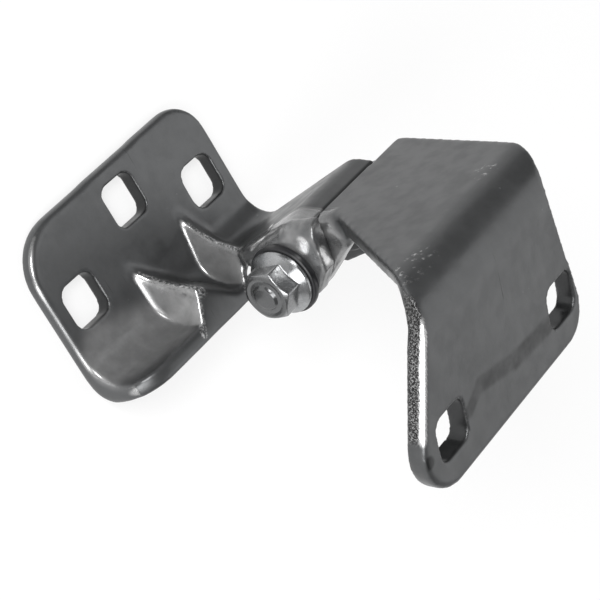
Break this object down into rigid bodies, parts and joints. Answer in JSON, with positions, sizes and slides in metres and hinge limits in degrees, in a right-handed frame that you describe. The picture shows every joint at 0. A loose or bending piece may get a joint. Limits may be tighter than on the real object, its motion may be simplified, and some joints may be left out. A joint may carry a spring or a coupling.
{
  "type": "vehicle door hinge",
  "caption": "Stamped steel door hinge: a ribbed pillar leaf and an angled door leaf turn on a flanged pivot bolt, with square mounting holes in both leaves.",
  "frame": {"origin": "middle of the pillar plate's outer pair of square holes, on the face that bears on the pillar", "axes": "+X from the plate towards the pivot, +Y along the pivot from the bolt's head to its nut, +Z square to the pillar plate, out of its outer face"},
  "size_m": [0.1085, 0.1113, 0.1254],
  "materials": {
    "coated_steel": "satin",
    "coated_steel_door": "satin",
    "zinc_bolt": "satin",
    "zinc_nut": "satin",
    "bush": "satin",
    "spacer_steel": "satin"
  },
  "bodies": {
    "pillar": {"pillar_leaf": "coated_steel", "bush_near": "bush", "bush_far": "bush"},
    "door": {"door_leaf": "coated_steel_door", "pivot_bolt": "zinc_bolt", "spacer": "spacer_steel", "washer": "zinc_nut", "lock_nut": "zinc_nut"}
  },
  "joints": [
    {"name": "door_swing", "type": "hinge", "parent": "pillar", "child": "door", "pos_m": [0.025, 0, 0.049], "axis": [0, 1, 0], "range_deg": [0, 75]}
  ]
}
